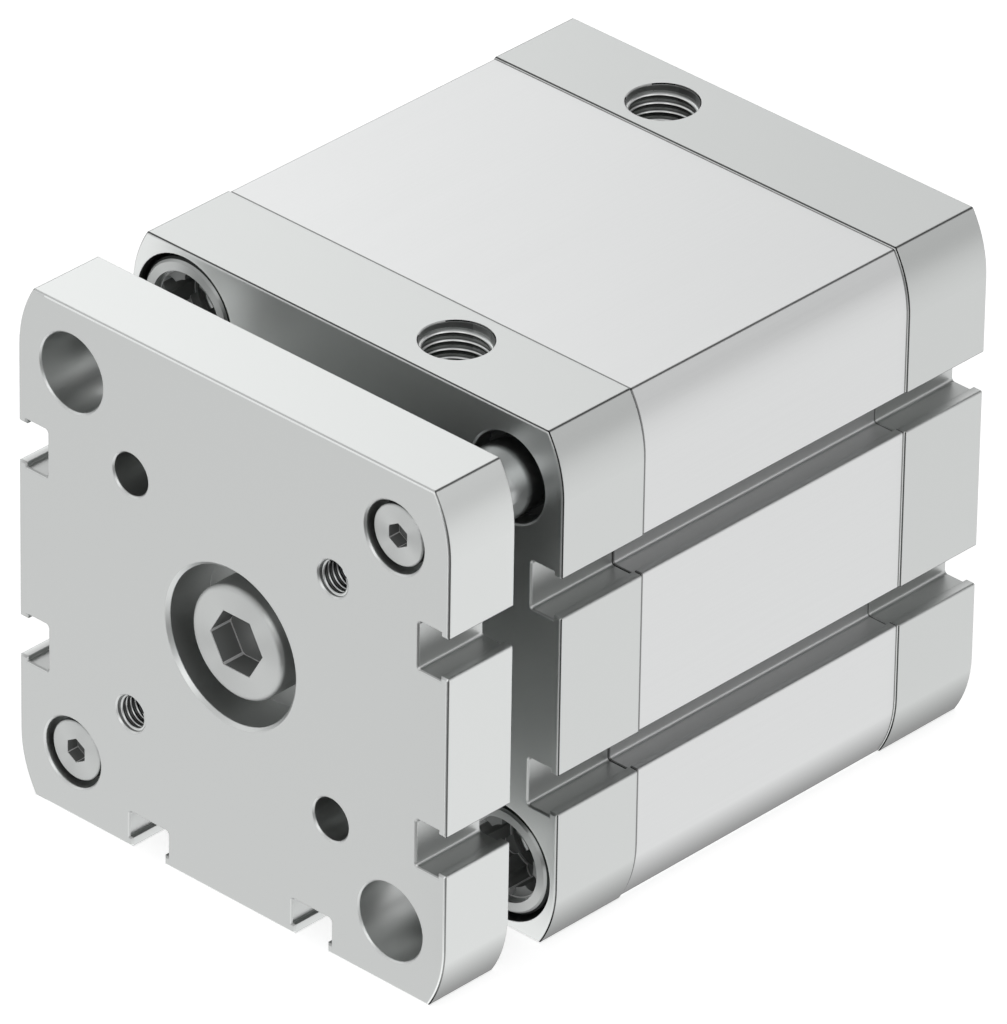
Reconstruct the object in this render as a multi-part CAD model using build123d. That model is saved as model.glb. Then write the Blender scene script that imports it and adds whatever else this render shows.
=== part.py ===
from build123d import *
from math import asin, cos, sin, sqrt
import os

os.makedirs("parts", exist_ok=True)

# Guided pneumatic cylinder, 63 mm bore and 30 mm stroke, at rest with the rod drawn in.
# +Z is up, and the stroke axis is Y. The origin is the centre of the rear mounting face.
# A station is a distance in front of that face, so it grows towards -Y.

# Section of the yoke plate and of the two caps
barrel_wall = 6.25
side_curve_height = 9.25
side_arc_radius = 17.0
section_corner_radius = 0.4
edge_break = 0.25
barrel_step = 0.2

# Sensor slots, two on each side and two underneath
slot_spacing = 29.0
slot_mouth_width = 5.7
slot_lip_thickness = 1.4
slot_cavity_width = 6.9
slot_depth = 5.15
slot_corner_radius = 0.45
slot_lip_radius = 0.3

# Lengths along the stroke axis
stroke = 30.0
end_cap_length = 15.0
bearing_cap_length = 15.0
yoke_gap = 8.5
yoke_thickness = 11.8
spigot_length = 3.2
end_clearance = 0.3

# Fits
running_clearance = 0.04
seal_clearance = 0.06
seat_clearance = 0.02
spigot_clearance = 0.03
free_clearance = 0.5

# Barrel and corner pattern
bore_diameter = 63.0
corner_inset = 9.5
core_clearance = 0.5

# Hollow collar screws that hold the caps to the barrel
collar_thread_height = 0.5
collar_engagement = 12.0
collar_thread_runout = 1.0
collar_shoulder = 1.8
collar_head_height = 8.3
collar_head_bevel = 0.6
collar_recess = 0.2
collar_head_gap = 0.7
collar_socket_inset = 0.25
collar_socket_lobes = 6
collar_lobe_radius = 1.3
collar_socket_margin = 0.3
collar_socket_depth = 5.0
collar_rim_width = 1.8
collar_mouth_depth = 1.2
mounting_thread_diameter = 8.0

# Piston rod with its bush and seal
rod_diameter = 20.0
rod_bush_wall = 1.5
rod_bush_length = 10.0
rod_seal_wall = 4.0
rod_seal_length = 5.0
rod_seal_recess = 0.8
rod_seal_lip = 0.8

# Guide rods with their bushes
guide_rod_diameter = 10.0
guide_rod_chamfer = 0.8
guide_bush_wall = 1.25
guide_bush_recess = 3.0
guide_bush_setback = 1.0
guide_socket_depth = 3.0
guide_rod_tail = 3.0

# Centre screw that fixes the yoke plate to the piston rod
centre_thread_diameter = 10.0
centre_head_diameter = 16.0
centre_head_height = 6.5
centre_head_rim = 0.8
centre_hex_flats = 8.0
centre_hex_depth = 3.7
centre_recess = 1.1
centre_head_gap = 3.1
centre_counterbore_chamfer = 0.5
centre_thread_length = 16.0

# Screws that fix the guide rods to the yoke plate
guide_thread_diameter = 5.0
guide_head_diameter = 8.5
guide_head_height = 3.5
guide_head_rim = 0.3
guide_hex_flats = 3.1
guide_hex_depth = 1.9
guide_hex_turn = 30.0
guide_recess = 0.7
guide_head_gap = 0.75
guide_thread_length = 11.0

# Holes in the yoke plate
access_hole_diameter = 11.0
plate_hole_spacing = 35.5
plate_dowel_diameter = 6.0
plate_thread_diameter = 5.0

# Clearance of a screw's shank in a plain hole, and of its tip in a blind hole
shank_clearance = 0.25
blind_clearance = 2.0

# Ports and the air ways behind them
port_thread_diameter = 9.73
port_mouth_diameter = 10.0
port_mouth_depth = 0.15
port_depth = 8.5
port_offset = 11.5
port_setback = 8.2
air_way_diameter = 4.0
air_way_wall = 0.97

# Cap seals, cushion rings and the relief for the piston screw
cap_seal_width = 1.8
cap_seal_groove_depth = 1.3
cap_seal_setback = 0.6
cap_seal_rounding = 0.3
cushion_inset = 7.5
cushion_width = 7.5
cushion_seat_depth = 1.2
cushion_stand_out = 0.8
relief_gap = 1.5
relief_room = 3.0

# Piston
piston_clearance = 0.5
guide_ring_width = 3.0
guide_ring_thickness = 1.9
magnet_width = 3.0
magnet_thickness = 5.5
magnet_cover = 2.06
lip_seal_width = 2.2
lip_seal_depth = 2.7
lip_seal_setback = 0.9
lip_seal_land = 0.75
lip_seal_relief = 0.9
ring_land = 0.54
rod_tail_diameter = 14.0
rod_tail_length = 3.0
rod_o_ring_section = 1.4
rod_o_ring_rounding = 0.35
piston_thread_diameter = 8.0
piston_head_diameter = 13.0
piston_head_height = 5.0
piston_head_rim = 0.3
piston_head_sunk = 3.4
piston_hex_flats = 5.0
piston_hex_depth = 2.5
piston_thread_length = 14.0

# Half sizes and places that follow from the sizes above
section_side = bore_diameter + 2 * barrel_wall
side_flat_height = section_side - 2 * side_curve_height
corner_spacing = section_side - 2 * corner_inset
half_side = section_side / 2
half_barrel = half_side - barrel_step
slot_offset = slot_spacing / 2
corner_offset = corner_spacing / 2
plate_hole_offset = plate_hole_spacing / 2
bore_radius = bore_diameter / 2
rod_radius = rod_diameter / 2
guide_radius = guide_rod_diameter / 2

# Collar screws, from the barrel's corner cores outwards
barrel_core_diameter = guide_rod_diameter + 2 * core_clearance
collar_thread_diameter = barrel_core_diameter + 2 * collar_thread_height
collar_head_diameter = collar_thread_diameter + 2 * collar_shoulder
collar_counterbore_diameter = collar_head_diameter + 2 * collar_head_gap
collar_mouth_diameter = collar_head_diameter - 2 * collar_rim_width
collar_socket_diameter = collar_mouth_diameter - 2 * collar_socket_inset
collar_socket_core_diameter = mounting_thread_diameter + 2 * collar_socket_margin

# Counterbores in the yoke plate
centre_counterbore_diameter = centre_head_diameter + 2 * centre_head_gap
guide_counterbore_diameter = guide_head_diameter + 2 * guide_head_gap

# Cushion rings, and the air ways that pass between them and the cap seals
cushion_outer_diameter = bore_diameter - 2 * cushion_inset
cushion_inner_diameter = cushion_outer_diameter - 2 * cushion_width
air_way_reach = cushion_outer_diameter / 2 + air_way_wall + air_way_diameter / 2
air_way_height = sqrt(air_way_reach**2 - port_offset**2)

# Piston's grooves and rings, from the bore inwards
ring_outer = bore_diameter - 2 * running_clearance
ring_bottom = ring_outer - 2 * guide_ring_thickness
magnet_outer_diameter = ring_bottom - 2 * magnet_cover
magnet_inner_diameter = magnet_outer_diameter - 2 * magnet_thickness
seal_room = lip_seal_setback + lip_seal_width + 2 * seat_clearance + ring_land
piston_length = guide_ring_width + 2 * seat_clearance + 2 * seal_room

# Stations along the stroke axis, from the rear face to the front
end_room = spigot_length + cushion_stand_out + end_clearance
barrel_length = stroke + piston_length + 2 * end_room
barrel_rear = end_cap_length
barrel_front = barrel_rear + barrel_length
cap_front = barrel_front + bearing_cap_length
yoke_rear = cap_front + yoke_gap
yoke_front = yoke_rear + yoke_thickness
piston_rear = barrel_rear + end_room
piston_front = piston_rear + piston_length
piston_middle = (piston_rear + piston_front) / 2
screw_seat = piston_rear + piston_head_sunk

# Corners where a guide rod runs, and corners where a collar screw takes its place
guide_corners = [(corner_offset, corner_offset), (-corner_offset, -corner_offset)]
collar_corners = [(-corner_offset, corner_offset), (corner_offset, -corner_offset)]
all_corners = guide_corners + collar_corners


def at(station):
    """Plane across the stroke axis, with X to the right, Z up and its normal to the front."""
    return Plane.XZ.offset(station)


def bar(section, start, end):
    """Section swept straight from one station to another."""
    return extrude(at(start) * section, amount=end - start)


def turned(profile, centre=(0, 0)):
    """Solid of revolution about the stroke axis, from corners given as (radius, station)."""
    corners = [(radius, -station) for radius, station in profile]
    solid = revolve(make_face(Polyline(*corners, close=True)), Axis.Y)
    return Pos(centre[0], 0, centre[1]) * solid


def cylinder(diameter, start, end, centre=(0, 0)):
    """Plain round bar between two stations."""
    radius = diameter / 2
    return turned([(0, start), (radius, start), (radius, end), (0, end)], centre)


def tube(inner_diameter, outer_diameter, start, end, centre=(0, 0)):
    """Plain ring between two stations."""
    inner = inner_diameter / 2
    outer = outer_diameter / 2
    return turned([(inner, start), (outer, start), (outer, end), (inner, end)], centre)


def front_hole(diameter, start, end, chamfer_size, centre=(0, 0)):
    """Cutter for a round hole whose front mouth is chamfered."""
    radius = diameter / 2
    profile = [
        (0, start),
        (radius, start),
        (radius, end - chamfer_size),
        (radius + chamfer_size, end),
        (0, end),
    ]
    return turned(profile, centre)


def through_hole(diameter, start, end, chamfer_size, centre=(0, 0)):
    """Cutter for a round hole whose two mouths are chamfered."""
    radius = diameter / 2
    profile = [
        (0, start),
        (radius + chamfer_size, start),
        (radius, start + chamfer_size),
        (radius, end - chamfer_size),
        (radius + chamfer_size, end),
        (0, end),
    ]
    return turned(profile, centre)


def outline(half_size, half_flat):
    """Section without its slots: flat top and bottom, and sides that curve in at both ends."""
    rise = half_size - half_flat
    inset = side_arc_radius - sqrt(side_arc_radius**2 - rise**2)
    corner = half_size - inset
    middle = asin(rise / side_arc_radius) / 2
    bulge_x = half_size - side_arc_radius + side_arc_radius * cos(middle)
    bulge_z = half_flat + side_arc_radius * sin(middle)
    edges = [
        Line((-corner, half_size), (corner, half_size)),
        ThreePointArc((corner, half_size), (bulge_x, bulge_z), (half_size, half_flat)),
        Line((half_size, half_flat), (half_size, -half_flat)),
        ThreePointArc((half_size, -half_flat), (bulge_x, -bulge_z), (corner, -half_size)),
        Line((corner, -half_size), (-corner, -half_size)),
        ThreePointArc((-corner, -half_size), (-bulge_x, -bulge_z), (-half_size, -half_flat)),
        Line((-half_size, -half_flat), (-half_size, half_flat)),
        ThreePointArc((-half_size, half_flat), (-bulge_x, bulge_z), (-corner, half_size)),
    ]
    face = make_face(edges)
    corners = [v for v in face.vertices() if abs(abs(v.Y) - half_size) < edge_break]
    return fillet(corners, section_corner_radius)


def slot_section(half_size):
    """Slot that opens towards +X: a mouth with rounded lips and a wider cavity behind it."""
    floor = half_side - slot_depth
    lip = half_side - slot_lip_thickness
    cavity = Pos((floor + lip) / 2, 0) * Rectangle(lip - floor, slot_cavity_width)
    inner = cavity.vertices().sort_by(Axis.X)[:2]
    cavity = fillet(inner, slot_corner_radius)
    mouth_end = half_size + slot_lip_radius
    mouth = Pos((floor + mouth_end) / 2, 0) * Rectangle(mouth_end - floor, slot_mouth_width)
    section = cavity + mouth
    for side in (-1, 1):
        lip_z = side * (slot_mouth_width / 2 + slot_lip_radius)
        block_z = side * (slot_mouth_width + slot_lip_radius) / 2
        block = Pos(half_size - slot_lip_radius / 2, block_z)
        block *= Rectangle(slot_lip_radius, slot_lip_radius)
        section += block - Pos(half_size - slot_lip_radius, lip_z) * Circle(slot_lip_radius)
    return section


def slotted_section(half_size):
    """Full section with its six slots."""
    section = outline(half_size, side_flat_height / 2)
    slot = slot_section(half_size)
    for offset in (-slot_offset, slot_offset):
        section -= Pos(0, offset) * slot
        section -= Pos(0, offset) * Rot(0, 0, 180) * slot
        section -= Pos(offset, 0) * Rot(0, 0, -90) * slot
    return section


def slotted_block(start, end):
    """Block of the full section with the edges of both end faces broken."""
    block = bar(cap_section, start, end)
    rims = block.edges().filter_by_position(Axis.Y, -start, -start)
    rims += block.edges().filter_by_position(Axis.Y, -end, -end)
    return chamfer(rims, edge_break)


cap_section = slotted_section(half_side)


def hexagon(flats, turn=0):
    """Hexagon given by its width across flats, with a corner on +X before it is turned."""
    return RegularPolygon(flats / sqrt(3), 6, rotation=turn)


def lobe_socket():
    """Six-lobed socket section of the collar screws."""
    section = Sketch() + Circle(collar_socket_core_diameter / 2)
    reach = collar_socket_diameter / 2 - collar_lobe_radius
    lobe = Pos(reach, 0) * Circle(collar_lobe_radius)
    for index in range(collar_socket_lobes):
        section += Rot(0, 0, 360 / collar_socket_lobes * (index + 0.5)) * lobe
    return section


def socket_screw(centre, seat, head, height, rim, shank, length, flats, depth, turn=0):
    """Low-head socket screw: seat is its underside's station, and it points to the rear."""
    top = seat + height
    screw = cylinder(head, seat, top, centre)
    screw = fillet(screw.edges().filter_by_position(Axis.Y, -top, -top), rim)
    screw += cylinder(shank, seat - length, seat, centre)
    return screw - bar(Pos(*centre) * hexagon(flats, turn), top - depth, top)


def collar_screw(centre, cap_length):
    """Hollow collar screw through a cap, drawn with its head at the rear face."""
    head_radius = collar_head_diameter / 2
    thread_radius = collar_thread_diameter / 2
    underside = collar_recess + collar_head_height
    tip = cap_length + collar_engagement
    profile = [
        (0, collar_recess),
        (head_radius - collar_head_bevel, collar_recess),
        (head_radius, collar_recess + collar_head_bevel),
        (head_radius, underside),
        (thread_radius, underside),
        (thread_radius, tip),
        (0, tip),
    ]
    screw = turned(profile, centre)
    mouth_end = collar_recess + collar_mouth_depth
    screw -= cylinder(collar_mouth_diameter, collar_recess, mouth_end, centre)
    screw -= bar(Pos(*centre) * lobe_socket(), mouth_end, mouth_end + collar_socket_depth)
    return screw - cylinder(mounting_thread_diameter, collar_recess, tip, centre)


def to_front(piece):
    """Piece of the end cap's side carried over to the bearing cap's side, facing the front."""
    return Pos(0, -cap_front, 0) * mirror(piece, about=Plane.XZ)


def screw_hole(centre, cap_length):
    """Counterbored hole in a cap for a collar screw."""
    seat = collar_recess + collar_head_height
    shank_hole = collar_thread_diameter + 2 * shank_clearance
    counterbore = cylinder(collar_counterbore_diameter, 0, seat, centre)
    return counterbore + cylinder(shank_hole, seat, cap_length, centre)


def port(side, cap_length):
    """Threaded port on top of a cap, with the air way from it to the chamber."""
    centre_x = side * port_offset
    radius = port_thread_diameter / 2
    mouth_radius = port_mouth_diameter / 2
    bottom = half_side - port_depth
    corners = [
        (0, bottom),
        (radius, bottom),
        (radius, half_side - port_mouth_depth),
        (mouth_radius, half_side),
        (0, half_side),
    ]
    hole = revolve(Plane.XZ * make_face(Polyline(*corners, close=True)), Axis.Z)
    reach = bottom - air_way_height
    drop = Pos(0, 0, air_way_height + reach / 2) * Cylinder(air_way_diameter / 2, reach)
    hole = Pos(centre_x, -port_setback, 0) * (hole + drop)
    centre = (centre_x, air_way_height)
    end = cap_length + spigot_length
    return hole + cylinder(air_way_diameter, port_setback, end, centre)


def cap_body(cap_length):
    """What the two caps share: block, spigot with its seal groove, and the cushion's seat."""
    end = cap_length + spigot_length
    spigot = bore_diameter - 2 * spigot_clearance
    groove_bottom = spigot - 2 * cap_seal_groove_depth
    groove_start = cap_length + cap_seal_setback
    groove_end = groove_start + cap_seal_width + 2 * seat_clearance
    body = slotted_block(0, cap_length)
    body += cylinder(spigot, cap_length, end)
    body -= tube(groove_bottom, bore_diameter, groove_start, groove_end)
    seat_inner = cushion_inner_diameter - 2 * seat_clearance
    seat_outer = cushion_outer_diameter + 2 * seat_clearance
    return body - tube(seat_inner, seat_outer, end - cushion_seat_depth, end)


def cap_seal(cap_length):
    """Squeezed O-ring in the groove of a cap's spigot."""
    inner = bore_diameter - 2 * (spigot_clearance + cap_seal_groove_depth - seat_clearance)
    outer = bore_diameter - 2 * seat_clearance
    start = cap_length + cap_seal_setback + seat_clearance
    ring = tube(inner, outer, start, start + cap_seal_width)
    return fillet(ring.edges(), cap_seal_rounding)


def cushion_ring(cap_length):
    """Elastic ring in a cap that the piston meets at the end of its stroke."""
    end = cap_length + spigot_length
    start = end - cushion_seat_depth
    return tube(cushion_inner_diameter, cushion_outer_diameter, start, end + cushion_stand_out)


# Barrel: the slotted profile, its bore, four corner cores and the threads for the screws
barrel = bar(slotted_section(half_barrel), barrel_rear, barrel_front)
barrel -= cylinder(bore_diameter, barrel_rear, barrel_front)
thread_cut = collar_thread_diameter + 2 * seat_clearance
thread_depth = collar_engagement + collar_thread_runout
for corner in all_corners:
    barrel -= cylinder(barrel_core_diameter, barrel_rear, barrel_front, corner)
    barrel -= cylinder(thread_cut, barrel_rear, barrel_rear + thread_depth, corner)
for corner in collar_corners:
    barrel -= cylinder(thread_cut, barrel_front - thread_depth, barrel_front, corner)
export_step(barrel, "parts/barrel.step")

# End cap: four collar screws, a port to the left of the middle, and the screw head's relief
end_cap = cap_body(end_cap_length)
for corner in all_corners:
    end_cap -= screw_hole(corner, end_cap_length)
end_cap -= port(-1, end_cap_length)
relief_diameter = piston_head_diameter + 2 * relief_gap
relief_start = screw_seat - piston_head_height - relief_room
end_cap -= cylinder(relief_diameter, relief_start, end_cap_length + spigot_length)
export_step(end_cap, "parts/end_cap.step")

# Bearing cap: two collar screws, two guide bores, the rod's bore and a port to the right
bearing_cap = to_front(cap_body(bearing_cap_length))
for corner in collar_corners:
    bearing_cap -= to_front(screw_hole(corner, bearing_cap_length))
bearing_cap -= to_front(port(1, bearing_cap_length))
guide_bore = guide_rod_diameter + 2 * (guide_bush_wall + seat_clearance)
for corner in guide_corners:
    bearing_cap -= front_hole(guide_bore, barrel_front, cap_front, edge_break, corner)
seal_bore = rod_diameter + 2 * (rod_seal_wall + seat_clearance)
seal_seat = cap_front - rod_seal_recess - rod_seal_length
bush_bore = rod_diameter + 2 * (rod_bush_wall + seat_clearance)
spigot_end = barrel_front - spigot_length
bush_front = spigot_end + rod_bush_length
bearing_cap -= cylinder(bush_bore, spigot_end, bush_front)
bearing_cap -= cylinder(rod_diameter + 2 * free_clearance, bush_front, cap_front)
bearing_cap -= front_hole(seal_bore, seal_seat, cap_front, edge_break)
export_step(bearing_cap, "parts/bearing_cap.step")

# Plain bush and seal of the piston rod
bush_inner = rod_diameter + 2 * running_clearance
rod_bush = tube(bush_inner, rod_diameter + 2 * rod_bush_wall, spigot_end, bush_front)
export_step(rod_bush, "parts/piston_rod_bush.step")
lip_radius = rod_radius + seal_clearance
seal_outer = rod_radius + rod_seal_wall
seal_front = seal_seat + rod_seal_length
rod_seal = turned(
    [
        (lip_radius + rod_seal_lip, seal_seat),
        (seal_outer, seal_seat),
        (seal_outer, seal_front),
        (lip_radius + rod_seal_lip, seal_front - rod_seal_lip),
        (lip_radius, seal_front),
        (lip_radius, seal_front - 2 * rod_seal_lip),
        (lip_radius + rod_seal_lip, seal_front - 3 * rod_seal_lip),
    ]
)
export_step(rod_seal, "parts/piston_rod_seal.step")

# Plain bushes of the guide rods
guide_bush_front = cap_front - guide_bush_recess
guide_bush_rear = barrel_front + guide_bush_setback
guide_bush_inner = guide_rod_diameter + 2 * running_clearance
guide_bush_outer = guide_rod_diameter + 2 * guide_bush_wall
guide_bushes = Compound(
    [
        tube(guide_bush_inner, guide_bush_outer, guide_bush_rear, guide_bush_front, corner).solid()
        for corner in guide_corners
    ]
)
export_step(guide_bushes, "parts/guide_rod_bushes.step")

# Collar screws, cap seals and cushion rings
rear_screws = Compound([collar_screw(c, end_cap_length).solid() for c in all_corners])
export_step(rear_screws, "parts/rear_collar_screws.step")
front_screws = Compound(
    [to_front(collar_screw(c, bearing_cap_length)).solid() for c in collar_corners]
)
export_step(front_screws, "parts/front_collar_screws.step")
export_step(cap_seal(end_cap_length), "parts/end_cap_seal.step")
export_step(to_front(cap_seal(bearing_cap_length)), "parts/bearing_cap_seal.step")
export_step(cushion_ring(end_cap_length), "parts/rear_cushion_ring.step")
export_step(to_front(cushion_ring(bearing_cap_length)), "parts/front_cushion_ring.step")

# Yoke plate: counterbored screw holes, access holes, dowel holes and threaded holes
yoke_plate = slotted_block(yoke_rear, yoke_front)
centre_seat = yoke_front - centre_recess - centre_head_height
centre_hole = centre_thread_diameter + 2 * shank_clearance
yoke_plate -= cylinder(centre_hole, yoke_rear, centre_seat)
yoke_plate -= front_hole(
    centre_counterbore_diameter, centre_seat, yoke_front, centre_counterbore_chamfer
)
guide_seat = yoke_front - guide_recess - guide_head_height
guide_hole = guide_thread_diameter + 2 * shank_clearance
guide_socket = guide_rod_diameter + 2 * seat_clearance
guide_rod_front = yoke_rear + guide_socket_depth
for corner in guide_corners:
    yoke_plate -= cylinder(guide_socket, yoke_rear, guide_rod_front, corner)
    yoke_plate -= cylinder(guide_hole, yoke_rear, guide_seat, corner)
    yoke_plate -= front_hole(
        guide_counterbore_diameter, guide_seat, yoke_front, edge_break, corner
    )
for corner in collar_corners:
    yoke_plate -= through_hole(
        access_hole_diameter, yoke_rear, yoke_front, edge_break, corner
    )
for side in (-1, 1):
    dowel_place = (-side * plate_hole_offset, side * plate_hole_offset)
    thread_place = (side * plate_hole_offset, side * plate_hole_offset)
    yoke_plate -= through_hole(
        plate_dowel_diameter, yoke_rear, yoke_front, edge_break, dowel_place
    )
    yoke_plate -= through_hole(
        plate_thread_diameter, yoke_rear, yoke_front, edge_break, thread_place
    )
export_step(yoke_plate, "parts/yoke_plate.step")

# Screws of the yoke plate
web = centre_seat - yoke_rear
centre_screw = socket_screw(
    (0, 0),
    centre_seat,
    centre_head_diameter,
    centre_head_height,
    centre_head_rim,
    centre_thread_diameter,
    web + centre_thread_length,
    centre_hex_flats,
    centre_hex_depth,
)
export_step(centre_screw, "parts/yoke_centre_screw.step")
guide_screw_length = guide_seat - guide_rod_front + guide_thread_length
guide_screws = Compound(
    [
        socket_screw(
            corner,
            guide_seat,
            guide_head_diameter,
            guide_head_height,
            guide_head_rim,
            guide_thread_diameter,
            guide_screw_length,
            guide_hex_flats,
            guide_hex_depth,
            guide_hex_turn,
        ).solid()
        for corner in guide_corners
    ]
)
export_step(guide_screws, "parts/guide_rod_screws.step")

# Guide rods: seated in the yoke plate, tapped at the front, chamfered at the free end
bush_exit = guide_bush_rear - stroke
guide_rod_rear = bush_exit - guide_rod_tail
tapped_guide = guide_thread_diameter + 2 * seat_clearance
tap_end = guide_rod_front - guide_thread_length - blind_clearance
guide_profile = [
    (0, guide_rod_rear),
    (guide_radius - guide_rod_chamfer, guide_rod_rear),
    (guide_radius, guide_rod_rear + guide_rod_chamfer),
    (guide_radius, guide_rod_front),
    (0, guide_rod_front),
]
guide_rod_solids = []
for corner in guide_corners:
    guide_rod = turned(guide_profile, corner)
    guide_rod -= cylinder(tapped_guide, tap_end, guide_rod_front, corner)
    guide_rod_solids.append(guide_rod.solid())
export_step(Compound(guide_rod_solids), "parts/guide_rods.step")

# Piston rod: tapped at both ends, with a thin tail that centres the piston
tail_end = piston_front - rod_tail_length
rod = cylinder(rod_diameter, piston_front, yoke_rear)
rod += cylinder(rod_tail_diameter, tail_end, piston_front)
tapped_front = centre_thread_diameter + 2 * seat_clearance
front_tap_end = yoke_rear - centre_thread_length - blind_clearance
rod -= cylinder(tapped_front, front_tap_end, yoke_rear)
tapped_rear = piston_thread_diameter + 2 * seat_clearance
rear_tap_end = tail_end + piston_thread_length + blind_clearance
rod -= cylinder(tapped_rear, tail_end, rear_tap_end)
export_step(rod, "parts/piston_rod.step")

# Piston halves, drawn as the rear half and mirrored for the front half
land_diameter = bore_diameter - 2 * piston_clearance
seal_bottom = bore_diameter - 2 * (seal_clearance + lip_seal_depth)
seal_start = piston_rear + lip_seal_setback
half_magnet = magnet_width / 2 + seat_clearance
half_ring = guide_ring_width / 2 + seat_clearance


def piston_half():
    """Rear half of the piston with the grooves it shares with the front half."""
    half = cylinder(land_diameter, piston_rear, piston_middle)
    half -= tube(
        magnet_inner_diameter - 2 * seat_clearance,
        magnet_outer_diameter + 2 * seat_clearance,
        piston_middle - half_magnet,
        piston_middle,
    )
    half -= tube(
        ring_bottom - 2 * seat_clearance, bore_diameter, piston_middle - half_ring, piston_middle
    )
    seal_end = seal_start + lip_seal_width + 2 * seat_clearance
    return half - tube(seal_bottom - 2 * seat_clearance, bore_diameter, seal_start, seal_end)


def mirrored(piece):
    """Piece of the piston carried over to the piston's other half."""
    return Pos(0, -2 * piston_middle, 0) * mirror(piece, about=Plane.XZ)


rear_half = piston_half()
head_hole = piston_head_diameter + 2 * shank_clearance
piston_hole = piston_thread_diameter + 2 * shank_clearance
rear_half -= cylinder(head_hole, piston_rear, screw_seat)
rear_half -= cylinder(piston_hole, screw_seat, piston_middle)
export_step(rear_half, "parts/piston_rear_half.step")
front_half = mirrored(piston_half())
tail_hole = rod_tail_diameter + 2 * seat_clearance
front_half -= cylinder(piston_hole, piston_middle, tail_end)
front_half -= cylinder(tail_hole, tail_end, piston_front)
o_ring_seat = tail_hole + 2 * (rod_o_ring_section + seat_clearance)
o_ring_start = piston_front - rod_o_ring_section - seat_clearance
front_half -= cylinder(o_ring_seat, o_ring_start, piston_front)
export_step(front_half, "parts/piston_front_half.step")

# Rings on the piston
o_ring = tube(
    tail_hole,
    tail_hole + 2 * rod_o_ring_section,
    o_ring_start + seat_clearance / 2,
    piston_front - seat_clearance / 2,
)
o_ring = fillet(o_ring.edges(), rod_o_ring_rounding)
export_step(o_ring, "parts/piston_rod_o_ring.step")
magnet = tube(
    magnet_inner_diameter,
    magnet_outer_diameter,
    piston_middle - magnet_width / 2,
    piston_middle + magnet_width / 2,
)
export_step(magnet, "parts/piston_magnet.step")
guide_ring = tube(
    ring_bottom,
    ring_outer,
    piston_middle - guide_ring_width / 2,
    piston_middle + guide_ring_width / 2,
)
export_step(guide_ring, "parts/piston_guide_ring.step")
seal_outer_radius = bore_radius - seal_clearance
seal_inner_radius = seal_bottom / 2
lip_start = seal_start + seat_clearance
lip_end = lip_start + lip_seal_width
rear_lip_seal = turned(
    [
        (seal_inner_radius, lip_start),
        (seal_outer_radius, lip_start),
        (seal_outer_radius, lip_start + lip_seal_land),
        (seal_outer_radius - lip_seal_relief, lip_end),
        (seal_inner_radius, lip_end),
    ]
)
export_step(rear_lip_seal, "parts/piston_rear_lip_seal.step")
export_step(mirrored(rear_lip_seal), "parts/piston_front_lip_seal.step")

# Screw that holds the piston on the rod, drawn facing the front and turned to face the rear
grip = tail_end - screw_seat
piston_screw = socket_screw(
    (0, 0),
    0,
    piston_head_diameter,
    piston_head_height,
    piston_head_rim,
    piston_thread_diameter,
    grip + piston_thread_length,
    piston_hex_flats,
    piston_hex_depth,
)
piston_screw = Pos(0, -screw_seat, 0) * mirror(piston_screw, about=Plane.XZ)
export_step(piston_screw, "parts/piston_screw.step")
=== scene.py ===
# %% [markdown]
# # Guided pneumatic cylinder
# A compact air cylinder: a square body of two caps and an extruded barrel, and in front of it a
# yoke plate that the piston rod and two guide rods push out by 30 mm. The solids come from the
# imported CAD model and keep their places. This script gives them their finishes, cuts the threads
# that the solids leave plain, and lights and frames the whole.

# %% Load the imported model
from math import radians

import bpy
from mathutils import Matrix


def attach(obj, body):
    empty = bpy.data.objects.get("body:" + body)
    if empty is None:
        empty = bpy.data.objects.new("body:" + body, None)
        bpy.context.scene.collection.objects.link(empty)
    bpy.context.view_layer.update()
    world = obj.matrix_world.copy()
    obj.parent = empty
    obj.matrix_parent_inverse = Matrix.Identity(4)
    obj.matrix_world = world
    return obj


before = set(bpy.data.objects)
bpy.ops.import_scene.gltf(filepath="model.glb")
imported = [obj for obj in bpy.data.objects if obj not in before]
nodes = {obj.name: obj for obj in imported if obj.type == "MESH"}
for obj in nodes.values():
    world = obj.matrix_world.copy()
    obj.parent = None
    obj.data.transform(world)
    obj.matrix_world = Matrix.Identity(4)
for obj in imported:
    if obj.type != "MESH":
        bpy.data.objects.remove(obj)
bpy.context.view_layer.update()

# %% [markdown]
# Real sizes are known in millimetres and Blender counts in metres, so every size is written in
# millimetres and multiplied by one constant. Stations are distances in front of the rear face,
# as in the solids, so the front of the yoke plate is at the largest one.

# %% Sizes that several pieces share
MM = 0.001
half_side = 37.75              # half the side of the plate and the caps
half_barrel = 37.55            # half the side of the barrel
corner = 28.25                 # corner holes, from the middle
plate_hole = 17.75             # small holes in the yoke plate, from the middle
plate_thread_radius = 2.5
dowel_radius = 3.0
access_radius = 5.5            # holes that lead to the screws behind the plate
counterbore_radius = 11.1      # round the yoke plate's middle screw
port_radius = 4.865
collar_thread_radius = 4.0
barrel_ends = (15.0, 64.0)     # stations
cap_front = 79.0
yoke_rear = 87.5
port_reach = 11.5              # ports, from the middle
port_stations = {"end_cap": 8.2, "bearing_cap": 70.8}


# %% [markdown]
# A colour picked on a screen is in sRGB, while a shader wants linear light. One function turns
# the one into the other, so each colour below can be read and picked as a hex value.

# %% Colour and node helpers
def linear(hex_colour):
    """Linear RGBA of an sRGB hex colour."""
    parts = [int(hex_colour[i:i + 2], 16) / 255 for i in (1, 3, 5)]
    return [c / 12.92 if c <= 0.04045 else ((c + 0.055) / 1.055) ** 2.4 for c in parts] + [1.0]


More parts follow.
